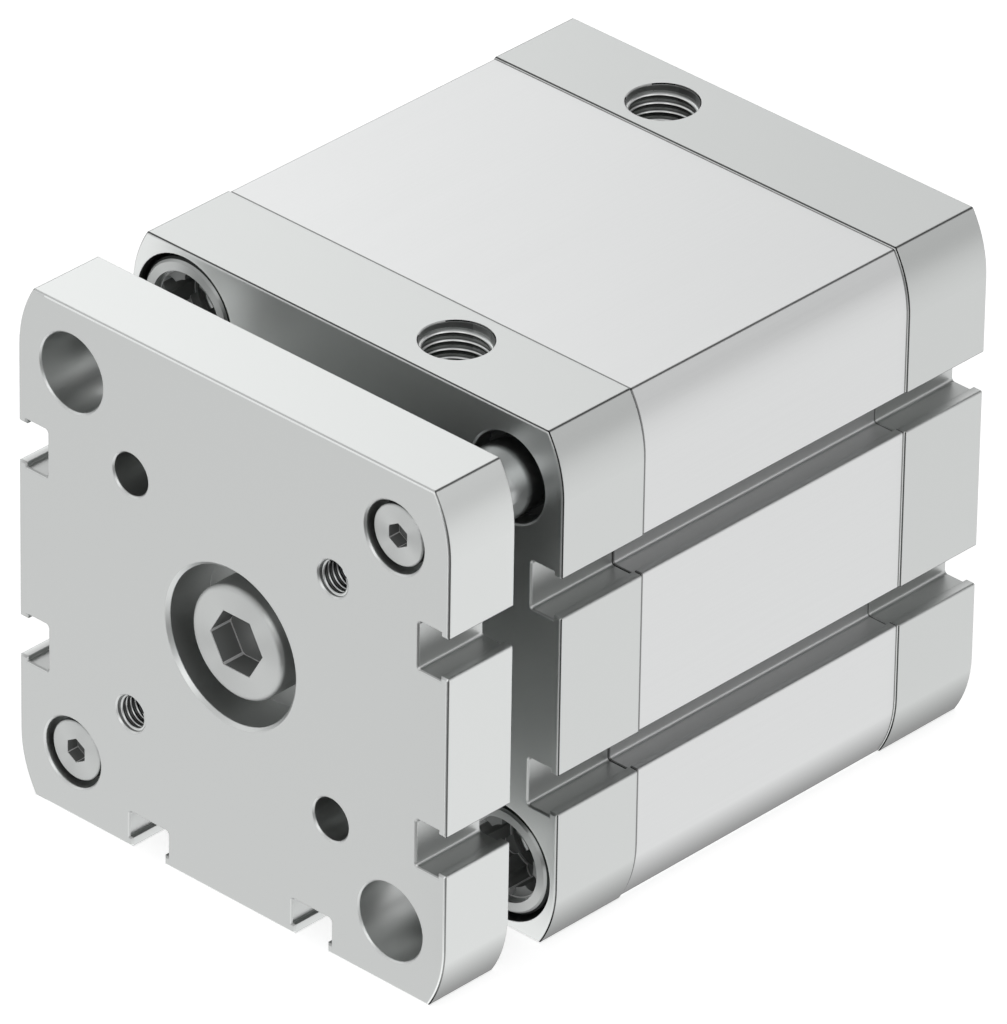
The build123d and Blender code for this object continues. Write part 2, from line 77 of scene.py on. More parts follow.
def add(tree, kind, inputs=None, **settings):
    """Adds a node, sets its properties, and sets or links its inputs."""
    node = tree.nodes.new(kind)
    for name, value in settings.items():
        setattr(node, name, value)
    for socket, value in (inputs or {}).items():
        if isinstance(value, bpy.types.NodeSocket):
            tree.links.new(value, node.inputs[socket])
        else:
            node.inputs[socket].default_value = value
    return node


def new_material(name):
    """Empty node material, with its tree and its output node."""
    material = bpy.data.materials.new(name)
    material.use_nodes = True
    tree = material.node_tree
    tree.nodes.clear()
    return material, tree, add(tree, "ShaderNodeOutputMaterial")


def dress(material, *names):
    """Gives CAD nodes a finish."""
    for name in names:
        for slot in nodes[name].material_slots:
            slot.material = material


# %% [markdown]
# ## Where light and shade are painted on the anodised surface
# The plate, both caps and the barrel share one section: flat on top, curved near the corners at
# the sides, with slots for sensors. Their colour isn't the same everywhere, and most of the change
# is painted light and shade. The milled end faces get a tone of their own, partly their milled
# finish and partly a painted light level: a shade darker on most pieces, and lighter on the
# bearing cap, whose front lies in the gap. The slots and the curved parts of the sides get painted
# shade, and each broken edge is a painted dark hairline with a painted highlight beside it, the
# glint. Such masks could be painted by hand, but the section is known. So one group works out how
# far each point lies inside the outline, and makes every mask from that distance and from the way
# the surface faces.

# %% Distance from the outline
SIDE_ARC = 17.0      # radius of the curved part of each side in mm
HALF_FLAT = 28.5     # half the height of the flat part of each side in mm
SLOT_PLACE = 14.5    # distance of a slot's middle from the section's middle in mm
SLOT_HALF = 3.6      # a little more than half the width of a slot in mm
SLOT_MIDDLE = 2.68   # middle of the depths that count as slot, in mm
SLOT_SPAN = 2.60     # and how far they reach to either side of it
SKIN = 0.15          # how far inside the outline the outer surface may lie in mm
edges = bpy.data.node_groups.new("edges of the section", "ShaderNodeTree")
edges.interface.new_socket("Half", in_out="INPUT", socket_type="NodeSocketFloat")
for name in ("Corner", "Side rim", "Top rim", "Glint", "Slot", "Milled", "Upper curve",
             "Lower curve"):
    edges.interface.new_socket(name, in_out="OUTPUT", socket_type="NodeSocketFloat")
half = add(edges, "NodeGroupInput").outputs["Half"]
point = add(edges, "ShaderNodeTexCoord").outputs
in_mm = add(edges, "ShaderNodeVectorMath", {0: point["Object"], "Scale": 1 / MM}, operation="SCALE")
folded = add(edges, "ShaderNodeVectorMath", {0: in_mm.outputs[0]}, operation="ABSOLUTE")
at = add(edges, "ShaderNodeSeparateXYZ", {0: folded.outputs[0]}).outputs
turned = add(edges, "ShaderNodeVectorMath", {0: point["Normal"]}, operation="ABSOLUTE")
facing = add(edges, "ShaderNodeSeparateXYZ", {0: turned.outputs[0]}).outputs
arc_middle = add(edges, "ShaderNodeMath", {0: half, 1: SIDE_ARC}, operation="SUBTRACT")
across = add(edges, "ShaderNodeMath", {0: at["X"], 1: arc_middle.outputs[0]}, operation="SUBTRACT")
across = add(edges, "ShaderNodeMath", {0: across.outputs[0], 1: 0.0}, operation="MAXIMUM")
above = add(edges, "ShaderNodeMath", {0: at["Z"], 1: HALF_FLAT}, operation="SUBTRACT")
above = add(edges, "ShaderNodeMath", {0: above.outputs[0], 1: 0.0}, operation="MAXIMUM")
reach = add(edges, "ShaderNodeCombineXYZ", {"X": across.outputs[0], "Z": above.outputs[0]})
reach = add(edges, "ShaderNodeVectorMath", {0: reach.outputs[0]}, operation="LENGTH")
side_gap = add(edges, "ShaderNodeMath", {0: SIDE_ARC, 1: reach.outputs["Value"]},
               operation="SUBTRACT").outputs[0]
top_gap = add(edges, "ShaderNodeMath", {0: half, 1: at["Z"]}, operation="SUBTRACT").outputs[0]
gap = add(edges, "ShaderNodeMath", {0: side_gap, 1: top_gap}, operation="MINIMUM").outputs[0]

# %% [markdown]
# The corner line is a painted dark reflection along the section's long corners, where the gap to
# both sides is small. A rim is a slope between an end face and the outer surface, and it gets a
# painted dark hairline. The top rims and the side rims mirror different parts of the studio, so
# each has a mask of its own. The glint is a painted highlight in a thin band just inside the
# outline, on faces that look along the stroke, and none is painted to the left of one line.

# %% Masks of painted edge lines and end faces from that distance
CORNER_LINE = (0.20, 0.08)   # where the painted dark corner line begins and where it is full in mm
GLINT_LINE = (0.25, 0.10)    # middle and half width of the painted highlight line in mm
MILLED_FACING = 0.95         # how squarely an end face looks along the stroke
RIM_FACING = (0.66, 0.29)    # the same for a rim, middle and half range
UNLIT_LEFT = -33.0           # to the left of this, in mm, no edge is bright
wider = add(edges, "ShaderNodeMath", {0: side_gap, 1: top_gap}, operation="MAXIMUM")
corner_line = add(edges, "ShaderNodeMapRange", {
    "Value": wider.outputs[0], "From Min": CORNER_LINE[0], "From Max": CORNER_LINE[1]})
milled = add(edges, "ShaderNodeMath", {0: facing["Y"], 1: MILLED_FACING},
             operation="GREATER_THAN")
sloped = add(edges, "ShaderNodeMath", {0: facing["Y"], 1: RIM_FACING[0], 2: RIM_FACING[1]},
             operation="COMPARE")
to_front = add(edges, "ShaderNodeMath", {0: facing["Y"], 1: RIM_FACING[0] - RIM_FACING[1]},
               operation="GREATER_THAN")
band = add(edges, "ShaderNodeMath", {0: gap, 1: GLINT_LINE[0], 2: GLINT_LINE[1]},
           operation="COMPARE")
glint = add(edges, "ShaderNodeMath", {0: to_front.outputs[0], 1: band.outputs[0]},
            operation="MULTIPLY")
signed = add(edges, "ShaderNodeSeparateXYZ", {0: in_mm.outputs[0]}).outputs
lit_side = add(edges, "ShaderNodeMath", {0: signed["X"], 1: UNLIT_LEFT},
               operation="GREATER_THAN")
glint = add(edges, "ShaderNodeMath", {0: glint.outputs[0], 1: lit_side.outputs[0]},
            operation="MULTIPLY")
outer = add(edges, "ShaderNodeMath", {0: gap, 1: SKIN}, operation="LESS_THAN")
rim = add(edges, "ShaderNodeMath", {0: sloped.outputs[0], 1: outer.outputs[0]},
          operation="MULTIPLY")
sideways = add(edges, "ShaderNodeMath", {0: facing["X"], 1: 0.3}, operation="GREATER_THAN")
side_rim = add(edges, "ShaderNodeMath", {0: rim.outputs[0], 1: sideways.outputs[0]},
               operation="MULTIPLY")
top_rim = add(edges, "ShaderNodeMath", {0: rim.outputs[0], 1: side_rim.outputs[0]},
              operation="SUBTRACT")

# %% [markdown]
# Where the sides curve toward the corners, they look up or down. The part that looks down sees
# little light, and in the photograph it goes nearly black along its edge.

# %% Painted shade on the curved part of each side
# Both curves get painted shade, the upper one a little and the lower one much.
slope = add(edges, "ShaderNodeSeparateXYZ", {0: point["Normal"]}).outputs["Z"]
skin = add(edges, "ShaderNodeMath", {0: outer.outputs[0], 1: sideways.outputs[0]},
           operation="MULTIPLY")
curves = []
for flat_end, edge_end in ((0.0, 0.45), (-0.12, -0.55)):
    bent = add(edges, "ShaderNodeMapRange", {
        "Value": slope, "From Min": flat_end, "From Max": edge_end})
    curves.append(add(edges, "ShaderNodeMath", {0: bent.outputs["Result"], 1: skin.outputs[0]},
                      operation="MULTIPLY").outputs[0])

# %% [markdown]
# A slot is a place beside the section's middle that lies deeper than the skin. The top has no
# slots, so the slots that run across the height count only below the middle. Inside them the
# colour gets painted shade, darker the deeper it lies. The end faces stay out, and the slots'
# upright walls keep most of their light.

# %% Painted shade in the slots
in_slot = []
for along_face, into_face in ((at["Z"], side_gap), (at["X"], top_gap)):
    beside = add(edges, "ShaderNodeMath", {0: along_face, 1: SLOT_PLACE, 2: SLOT_HALF},
                 operation="COMPARE")
    inside = add(edges, "ShaderNodeMath", {
        0: into_face, 1: SLOT_MIDDLE, 2: SLOT_SPAN}, operation="COMPARE")
    deep = add(edges, "ShaderNodeMapRange", {
        "Value": into_face, "From Min": 0.1, "From Max": 1.3})
    both = add(edges, "ShaderNodeMath", {0: beside.outputs[0], 1: inside.outputs[0]},
               operation="MULTIPLY")
    in_slot.append(add(edges, "ShaderNodeMath", {0: both.outputs[0], 1: deep.outputs["Result"]},
                       operation="MULTIPLY").outputs[0])
below = add(edges, "ShaderNodeMath", {0: signed["Z"], 1: 0.0}, operation="LESS_THAN")
under = add(edges, "ShaderNodeMath", {0: in_slot[1], 1: below.outputs[0]}, operation="MULTIPLY")
slots = add(edges, "ShaderNodeMath", {0: in_slot[0], 1: under.outputs[0]}, operation="MAXIMUM")
walls = add(edges, "ShaderNodeMath", {0: slots.outputs[0], 1: milled.outputs[0]},
            operation="SUBTRACT", use_clamp=True)
upright = add(edges, "ShaderNodeMapRange", {"Value": facing["X"], "To Min": 1.0, "To Max": 0.2})
walls = add(edges, "ShaderNodeMath", {0: walls.outputs[0], 1: upright.outputs["Result"]},
            operation="MULTIPLY")
add(edges, "NodeGroupOutput", {
    "Corner": corner_line.outputs["Result"], "Side rim": side_rim.outputs[0],
    "Top rim": top_rim.outputs[0], "Glint": glint.outputs[0], "Slot": walls.outputs[0],
    "Milled": milled.outputs[0], "Upper curve": curves[0], "Lower curve": curves[1]})
print("masks", [item.name for item in edges.interface.items_tree if item.in_out == "OUTPUT"])

# %% [markdown]
# ## Anodised aluminium
# The plate and the caps are milled from bar, tumbled and satin anodised, which leaves an even
# grey metal with a very fine grit. The barrel is extruded, and its die leaves faint lines along
# the stroke. Both are one metal under one clear layer, so one function makes both: its noise is
# even for the grit, and drawn out along the stroke for the die lines. Each piece gets its own,
# slightly different grey. Each mask and each hole changes the tone by a factor, and 1 leaves it
# as it is. These factors are mostly painted light and shade. Holes get painted shade: they are
# darker than the faces, and tapped ones darkest, because light that enters them is lost between
# the ridges.

# %% Anodised finish
GRIT = 0.25          # grain of the tumbled surface in mm, drawn coarser than real so that it shows
DIE_LINE = 0.35      # spacing of the die lines in mm
DRAWN_OUT = 0.012    # how much finer a die line is across the stroke than along it
JOINT_LINE = 0.24    # width of the shadow line at a barrel's end in mm
JOINT_TONE = 0.35
SATIN = 0.38         # roughness of the anodised surface
SATIN_SPREAD = 0.04  # how far the grain changes the roughness
TUMBLED = 0.18       # radius in mm that tumbling gives each edge
WALL_SPARE = 0.03    # how far outside a hole's radius its wall still counts in mm


def anodised(name, colours, half_size, grain, stretch, tones, holes=(), ends=None):
    """Satin metal with a grain, and with light and shade painted into its tone where the masks say
    so. Each hole is the place of its axis, with None for the direction in which the axis runs, its
    radius and the tone of its painted shade."""
    material, tree, output = new_material(name)
    place = add(tree, "ShaderNodeTexCoord").outputs["Object"]
    along = add(tree, "ShaderNodeMapping", {"Vector": place, "Scale": (1.0, stretch, 1.0)})
    noise = add(tree, "ShaderNodeTexNoise", {
        "Vector": along.outputs["Vector"], "Scale": 1 / (grain * MM), "Detail": 3.0})
    tone = add(tree, "ShaderNodeMix", {"Factor": noise.outputs["Fac"], "A": linear(colours[0]),
                                       "B": linear(colours[1])}, data_type="RGBA")
    masks = add(tree, "ShaderNodeGroup", node_tree=edges)
    masks.inputs["Half"].default_value = half_size
    shade = 1.0
    for mask, level in tones.items():
        shade = add(tree, "ShaderNodeMath", {0: masks.outputs[mask], 1: level - 1.0, 2: shade},
                    operation="MULTIPLY_ADD").outputs[0]
    for centre, hole_radius, level in holes:
        across = add(tree, "ShaderNodeVectorMath", {
            0: place, 1: [float(c is not None) for c in centre]}, operation="MULTIPLY")
        away = add(tree, "ShaderNodeVectorMath", {
            0: across.outputs[0], 1: [(c or 0.0) * MM for c in centre]}, operation="DISTANCE")
        inside = add(tree, "ShaderNodeMath", {
            0: away.outputs["Value"], 1: (hole_radius + WALL_SPARE) * MM}, operation="LESS_THAN")
        shade = add(tree, "ShaderNodeMath", {0: inside.outputs[0], 1: level - 1.0, 2: shade},
                    operation="MULTIPLY_ADD").outputs[0]
    if ends:
        station = add(tree, "ShaderNodeSeparateXYZ", {0: place}).outputs["Y"]
        within = add(tree, "ShaderNodeMath", {
            0: station, 1: -(ends[0] + ends[1]) / 2 * MM,
            2: ((ends[1] - ends[0]) / 2 - JOINT_LINE) * MM}, operation="COMPARE")
        lit = add(tree, "ShaderNodeMapRange", {"Value": within.outputs[0], "To Min": JOINT_TONE})
        shade = add(tree, "ShaderNodeMath", {0: lit.outputs["Result"], 1: shade},
                    operation="MULTIPLY").outputs[0]
    shaded = add(tree, "ShaderNodeVectorMath", {0: tone.outputs["Result"], "Scale": shade},
                 operation="SCALE")
    rough = add(tree, "ShaderNodeMapRange", {
        "Value": noise.outputs["Fac"], "To Min": SATIN - SATIN_SPREAD,
        "To Max": SATIN + SATIN_SPREAD})
    worn = add(tree, "ShaderNodeBevel", {"Radius": TUMBLED * MM}, samples=4)
    bump = add(tree, "ShaderNodeBump", {
        "Height": noise.outputs["Fac"], "Strength": 0.06, "Distance": 0.02 * MM,
        "Normal": worn.outputs[0]})
    shader = add(tree, "ShaderNodeBsdfPrincipled", {
        "Base Color": shaded.outputs[0], "Metallic": 1.0,
        "Roughness": rough.outputs["Result"], "Normal": bump.outputs["Normal"]})
    tree.links.new(shader.outputs[0], output.inputs["Surface"])
    return material


# Tone of each mask: painted light and shade, and for Milled partly the milled finish.
cap_tones = {"Corner": 0.42, "Side rim": 0.15, "Top rim": 0.15, "Glint": 1.3, "Slot": 0.70,
             "Milled": 0.87, "Upper curve": 0.86, "Lower curve": 0.15}
yoke_tones = dict(cap_tones, **{"Side rim": 0.42, "Top rim": 0.85, "Glint": 1.35, "Slot": 0.6,
                                "Milled": 0.81, "Upper curve": 0.93})
bearing_tones = dict(cap_tones, **{"Glint": 1.1, "Milled": 1.25})
barrel_tones = dict(cap_tones, **{"Upper curve": 0.95})
# The last number of each hole is the tone of its painted shade.
plate_holes = [
    ((plate_hole, None, plate_hole), plate_thread_radius, 0.5),
    ((-plate_hole, None, -plate_hole), plate_thread_radius, 0.5),
    ((-plate_hole, None, plate_hole), dowel_radius, 0.8),
    ((plate_hole, None, -plate_hole), dowel_radius, 0.8),
    ((-corner, None, corner), access_radius, 0.9),
    ((corner, None, -corner), access_radius, 0.9),
    ((0.0, None, 0.0), counterbore_radius, 0.85)]
yoke_finish = anodised(
    "yoke_satin_anodised", ("#D8DAD9", "#DBDDDC"), half_side, GRIT, 1.0, yoke_tones, plate_holes)
bearing_finish = anodised(
    "bearing_cap_satin_anodised", ("#CED0CF", "#D1D3D2"), half_side, GRIT, 1.0, bearing_tones,
    [((port_reach, -port_stations["bearing_cap"], None), port_radius, 0.5)])
end_finish = anodised(
    "end_cap_satin_anodised", ("#CBCDCC", "#CED0CF"), half_side, GRIT, 1.0, cap_tones,
    [((-port_reach, -port_stations["end_cap"], None), port_radius, 0.5)])
barrel_finish = anodised(
    "extruded_anodised", ("#D7D8D8", "#DCDDDD"), half_barrel, DIE_LINE, DRAWN_OUT, barrel_tones,
    ends=barrel_ends)
dress(yoke_finish, "yoke_plate")
dress(bearing_finish, "bearing_cap")
dress(end_finish, "end_cap")
dress(barrel_finish, "barrel")
print("anodised", ["yoke_plate", "bearing_cap", "end_cap", "barrel"])

# %% [markdown]
# ## Turned steel screws
# Screw heads are turned on a lathe. The tool leaves rings round each screw's own axis, and rings
# spread a highlight across them, which the eye sees as bright wedges. The shader does this with
# anisotropy, whose direction runs round the nearest axis: the corner screws' centres lie at plus
# and minus the same distance, so the sign of each coordinate says which screw a point is on. The
# sockets get painted shade, a darker colour that is partly dull instead of metal, and painted
# highlights along their corners, at their mouth and at their floor. The heads' outer flanks get
# painted shade too, because they stand in a narrow gap that little light gets into.

# %% Turned steel finish
STEEL_ROUGHNESS = 0.38
STEEL_GRAIN = 0.01   # how far the tool's rings change the roughness
RING_PITCH = 0.12    # distance between the tool's rings in mm
STEEL_EDGE = 0.1     # radius of a screw's edges in mm
# A socket's colour is painted shade, and its bright edge colour is a painted highlight.
SOCKET_SHADE_TONE = "#868887"
SOCKET_HIGHLIGHT_TONE = "#F4F4F4"
SOCKET_DULL_SHARE = 0.7    # share of a socket's walls that is dull, not metal, under the painted shade
STEEL_SPREAD = 0.92  # how much longer a highlight is across the rings than along them
SOCKET_HIGHLIGHT_WIDTH = 0.024      # width of the painted highlight along a socket's edges, as a share of its radius


def turned_steel(name, centre, middle, top, flank, socket, colour="#C4C6C5"):
    """Lathe-turned steel round the axes at plus and minus centre. Its heads end at the distance
    top from the station middle. Flank is the radius from which a head gets painted shade, with the
    tone of that shade, and socket is the drive's largest radius, with its depth; the socket gets
    painted shade and painted highlights."""
    material, tree, output = new_material(name)
    place = add(tree, "ShaderNodeTexCoord").outputs["Object"]
    side = add(tree, "ShaderNodeVectorMath", {0: place}, operation="SIGN")
    axis_at = add(tree, "ShaderNodeVectorMath", {
        0: side.outputs[0], 1: (centre * MM, 0.0, centre * MM)}, operation="MULTIPLY")
    from_axis = add(tree, "ShaderNodeVectorMath", {0: place, 1: axis_at.outputs[0]},
                    operation="SUBTRACT")
    flat = add(tree, "ShaderNodeVectorMath", {0: from_axis.outputs[0], 1: (1.0, 0.0, 1.0)},
               operation="MULTIPLY")
    around = add(tree, "ShaderNodeVectorMath", {0: (0.0, 1.0, 0.0), 1: flat.outputs[0]},
                 operation="CROSS_PRODUCT")
    unit = add(tree, "ShaderNodeVectorMath", {0: around.outputs[0]}, operation="NORMALIZE")
    radius = add(tree, "ShaderNodeVectorMath", {0: flat.outputs[0]}, operation="LENGTH")
    rings = add(tree, "ShaderNodeTexNoise", {
        "W": add(tree, "ShaderNodeMath", {0: radius.outputs["Value"], 1: 1 / (RING_PITCH * MM)},
                 operation="MULTIPLY").outputs[0], "Scale": 1.0, "Detail": 2.0},
        noise_dimensions="1D")
    rough = add(tree, "ShaderNodeMapRange", {
        "Value": rings.outputs["Fac"], "To Min": STEEL_ROUGHNESS - STEEL_GRAIN,
        "To Max": STEEL_ROUGHNESS + STEEL_GRAIN})
    # Painted highlights along a socket's corners, at its floor and at its mouth.
    line = SOCKET_HIGHLIGHT_WIDTH * socket[0] * MM
    station = add(tree, "ShaderNodeSeparateXYZ", {0: place}).outputs["Y"]
    from_middle = add(tree, "ShaderNodeMath", {0: station, 1: middle * MM}, operation="ADD")
    reach = add(tree, "ShaderNodeMath", {0: from_middle.outputs[0]}, operation="ABSOLUTE")
    depth = add(tree, "ShaderNodeMath", {0: top * MM, 1: reach.outputs[0]}, operation="SUBTRACT")
    below_face = add(tree, "ShaderNodeMath", {0: depth.outputs[0], 1: 0.02 * MM},
                     operation="GREATER_THAN")
    near = add(tree, "ShaderNodeMath", {0: radius.outputs["Value"], 1: (socket[0] + 0.05) * MM},
               operation="LESS_THAN")
    in_socket = add(tree, "ShaderNodeMath", {0: below_face.outputs[0], 1: near.outputs[0]},
                    operation="MULTIPLY")
    in_corner = add(tree, "ShaderNodeMath", {
        0: radius.outputs["Value"], 1: socket[0] * MM - line}, operation="GREATER_THAN")
    at_floor = add(tree, "ShaderNodeMath", {
        0: depth.outputs[0], 1: socket[1] * MM - line, 2: 0.9 * line}, operation="COMPARE")
    at_mouth = add(tree, "ShaderNodeMath", {0: depth.outputs[0], 1: line},
                   operation="LESS_THAN")
    socket_highlight = add(tree, "ShaderNodeMath", {0: in_corner.outputs[0], 1: at_floor.outputs[0]},
                 operation="MAXIMUM")
    socket_highlight = add(tree, "ShaderNodeMath", {0: socket_highlight.outputs[0], 1: at_mouth.outputs[0]},
                 operation="MAXIMUM")
    socket_highlight = add(tree, "ShaderNodeMath", {0: socket_highlight.outputs[0], 1: in_socket.outputs[0]},
                 operation="MULTIPLY")
    # The painted shade makes part of a socket dull, not metal.
    skin = add(tree, "ShaderNodeMath", {0: in_socket.outputs[0], 1: SOCKET_DULL_SHARE},
               operation="MULTIPLY")
    not_metal = add(tree, "ShaderNodeMath", {0: socket_highlight.outputs[0], 1: skin.outputs[0]},
                  operation="MAXIMUM")
    metal = add(tree, "ShaderNodeMath", {0: 1.0, 1: not_metal.outputs[0]}, operation="SUBTRACT")
    outside = add(tree, "ShaderNodeMath", {
        0: radius.outputs["Value"], 1: flank[0] * MM}, operation="GREATER_THAN")
    tone = add(tree, "ShaderNodeMix", {"Factor": in_socket.outputs[0], "A": linear(colour),
                                       "B": linear(SOCKET_SHADE_TONE)}, data_type="RGBA")
    tone = add(tree, "ShaderNodeMix", {"Factor": outside.outputs[0], "A": tone.outputs["Result"],
                                       "B": linear(flank[1])}, data_type="RGBA")
    tone = add(tree, "ShaderNodeMix", {"Factor": socket_highlight.outputs[0], "A": tone.outputs["Result"],
                                       "B": linear(SOCKET_HIGHLIGHT_TONE)}, data_type="RGBA")
    worn = add(tree, "ShaderNodeBevel", {"Radius": STEEL_EDGE * MM}, samples=4)
    shader = add(tree, "ShaderNodeBsdfPrincipled", {
        "Base Color": tone.outputs["Result"], "Metallic": metal.outputs[0],
        "Roughness": rough.outputs["Result"], "Anisotropic": STEEL_SPREAD,
        "Anisotropic Rotation": 0.25, "Tangent": unit.outputs[0], "Normal": worn.outputs[0]})
    tree.links.new(shader.outputs[0], output.inputs["Surface"])
    return material


body_middle = cap_front / 2
centre_steel = turned_steel("turned_steel_centre", 0.0, 0.0, 98.2, (7.97, "#B4B6B5"),
                            (4.62, 3.7))
guide_steel = turned_steel("turned_steel_guides", corner, 0.0, 98.6, (4.22, "#707271"),
                           (1.79, 1.9))
collar_steel = turned_steel("turned_steel_collars", corner, body_middle, 39.3, (7.5, "#3A3C3B"),
                            (5.75, 6.2), "#BCBEBD")
piston_steel = turned_steel("turned_steel_piston", 0.0, body_middle, 21.8, (6.47, "#707271"),
                            (2.9, 3.0))
dress(centre_steel, "yoke_centre_screw")
dress(guide_steel, "guide_rod_screws")
dress(collar_steel, "front_collar_screws", "rear_collar_screws")
dress(piston_steel, "piston_screw")
print("turned steel", ["yoke_centre_screw", "guide_rod_screws", "collar screws", "piston_screw"])

# %% [markdown]
# ## Rods, bushes, seals and the piston
# The rods are ground and hard chromed, so they mirror. The bushes are rolled steel with a dark
# sliding layer, and the seals are moulded rubber. Most of these show only with the rod out, or in
# the gap in front of the body, and they still get the finish that they have when the cylinder is
# taken apart.

# %% Finishes of the inner pieces


def plain_finish(name, colours, metallic, roughness, grain, bump_strength):
    """Finish with a grain of a real size in mm, from one colour to another."""
    material, tree, output = new_material(name)
    place = add(tree, "ShaderNodeTexCoord").outputs["Object"]
    noise = add(tree, "ShaderNodeTexNoise", {"Vector": place, "Scale": 1 / (grain * MM),
                                             "Detail": 3.0})
    tone = add(tree, "ShaderNodeMix", {"Factor": noise.outputs["Fac"], "A": linear(colours[0]),
                                       "B": linear(colours[1])}, data_type="RGBA")
    rough = add(tree, "ShaderNodeMapRange", {
        "Value": noise.outputs["Fac"], "To Min": roughness * 0.9, "To Max": roughness * 1.1})
    bump = add(tree, "ShaderNodeBump", {
        "Height": noise.outputs["Fac"], "Strength": bump_strength, "Distance": 0.03 * MM})
    shader = add(tree, "ShaderNodeBsdfPrincipled", {
        "Base Color": tone.outputs["Result"], "Metallic": metallic,
        "Roughness": rough.outputs["Result"], "Normal": bump.outputs["Normal"]})
    tree.links.new(shader.outputs[0], output.inputs["Surface"])
    return material


chrome = plain_finish("hard_chrome", ("#B4B6B6", "#BCBEBE"), 1.0, 0.22, 1.2, 0.01)
bush_layer = plain_finish("dark_sliding_layer", ("#4A4B4B", "#585959"), 0.0, 0.5, 0.15, 0.2)
rubber = plain_finish("moulded_rubber", ("#1B1B1B", "#262626"), 0.0, 0.6, 0.4, 0.15)
cushion = plain_finish("moulded_polyurethane", ("#2A2C2E", "#34373A"), 0.0, 0.5, 0.5, 0.1)
turned_aluminium = plain_finish("turned_aluminium", ("#BFC1C2", "#CBCDCE"), 1.0, 0.35, 0.3, 0.05)
magnet = plain_finish("plastic_bonded_ferrite", ("#2A2A2C", "#38383A"), 0.0, 0.7, 0.3, 0.25)
bearing_plastic = plain_finish("bearing_plastic", ("#D8D4C8", "#E2DED2"), 0.0, 0.45, 0.6, 0.05)
dress(chrome, "piston_rod", "guide_rods")
dress(bush_layer, "piston_rod_bush", "guide_rod_bushes")
dress(rubber, "piston_rod_seal", "bearing_cap_seal", "end_cap_seal", "piston_rod_o_ring",
      "piston_front_lip_seal", "piston_rear_lip_seal")
dress(cushion, "front_cushion_ring", "rear_cushion_ring")
dress(turned_aluminium, "piston_front_half", "piston_rear_half")
dress(magnet, "piston_magnet")
dress(bearing_plastic, "piston_guide_ring")

# %% [markdown]
# ## Threads
# The solids leave each tapped hole plain, at the thread's largest diameter. What is missing is
# the ridge that winds up the wall. One could model a ring and repeat it, but a thread is one
# helix, so Geometry Nodes sweep a ridge's section along a spiral and copy it to each hole. The
# same tree serves the ports, the plate and the hollow screws, and only its named sizes change.

# %% Tree that winds a thread in each hole
SINK = 0.05          # how far the ridge's root lies in the wall in mm, so that no gap shows
thread_tree = bpy.data.node_groups.new("thread in each hole", "GeometryNodeTree")
for name, kind in (("Holes", "Geometry"), ("Radius", "Float"), ("Pitch", "Float"),
                   ("Depth", "Float"), ("Crest", "Float"), ("Length", "Float"),
                   ("Steps", "Int"), ("Turn", "Rotation"), ("Finish", "Material")):
    thread_tree.interface.new_socket(name, in_out="INPUT", socket_type="NodeSocket" + kind)
thread_tree.interface.new_socket("Threads", in_out="OUTPUT", socket_type="NodeSocketGeometry")
given = add(thread_tree, "NodeGroupInput").outputs
turns = add(thread_tree, "ShaderNodeMath", {0: given["Length"], 1: given["Pitch"]},
            operation="DIVIDE")
wall = add(thread_tree, "ShaderNodeMath", {0: given["Radius"], 1: SINK * MM})
middle = add(thread_tree, "ShaderNodeMath", {
    0: given["Depth"], 1: -0.5, 2: wall.outputs[0]}, operation="MULTIPLY_ADD")
spiral = add(thread_tree, "GeometryNodeCurveSpiral", {
    "Resolution": given["Steps"], "Rotations": turns.outputs[0],
    "Start Radius": middle.outputs[0], "End Radius": middle.outputs[0],
    "Height": given["Length"], "Reverse": True})
level = add(thread_tree, "GeometryNodeSetCurveNormal", {"Curve": spiral.outputs[0]}, mode="Z_UP")
root = add(thread_tree, "ShaderNodeMath", {0: given["Pitch"], 1: 0.86}, operation="MULTIPLY")
section = add(thread_tree, "GeometryNodeCurvePrimitiveQuadrilateral", {
    "Height": given["Depth"], "Bottom Width": root.outputs[0], "Top Width": given["Crest"],
    "Offset": 0.0}, mode="TRAPEZOID")
inward = add(thread_tree, "GeometryNodeTransform", {
    "Geometry": section.outputs[0], "Rotation": (0.0, 0.0, radians(90))})
ridge = add(thread_tree, "GeometryNodeCurveToMesh", {
    "Curve": level.outputs[0], "Profile Curve": inward.outputs[0], "Fill Caps": True})
placed = add(thread_tree, "GeometryNodeInstanceOnPoints", {
    "Points": given["Holes"], "Instance": ridge.outputs[0], "Rotation": given["Turn"]})
real = add(thread_tree, "GeometryNodeRealizeInstances", {"Geometry": placed.outputs[0]})
painted = add(thread_tree, "GeometryNodeSetMaterial", {
    "Geometry": real.outputs[0], "Material": given["Finish"]})
add(thread_tree, "NodeGroupOutput", {0: painted.outputs[0]})


def wind_threads(name, centres, body, values):
    """Plain mesh with a thread that starts at each centre, riding on one body."""
    holes = bpy.data.meshes.new(name + "_holes")
    holes.from_pydata([[c * MM for c in centre] for centre in centres], [], [])
    carrier = bpy.data.objects.new(name + "_carrier", holes)
    bpy.context.scene.collection.objects.link(carrier)
    modifier = carrier.modifiers.new("threads", "NODES")
    modifier.node_group = thread_tree
    for item in thread_tree.interface.items_tree:
        if item.in_out == "INPUT" and item.name in values:
            modifier[item.identifier] = values[item.name]
    ready = carrier.evaluated_get(bpy.context.evaluated_depsgraph_get())
    mesh = bpy.data.meshes.new_from_object(ready)
    bpy.data.objects.remove(carrier)
    piece = bpy.data.objects.new(name, mesh)
    bpy.context.scene.collection.objects.link(piece)
    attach(piece, body)
    print(name, "holes", len(centres), "faces", len(mesh.polygons))


# %% [markdown]
# In a tapped hole the flanks that face the mouth catch the light, and the crests and the flanks
# behind them look only at more thread. So the way a face points along the hole's axis sets how
# bright the cut metal is.

# %% Finish of a tapped thread


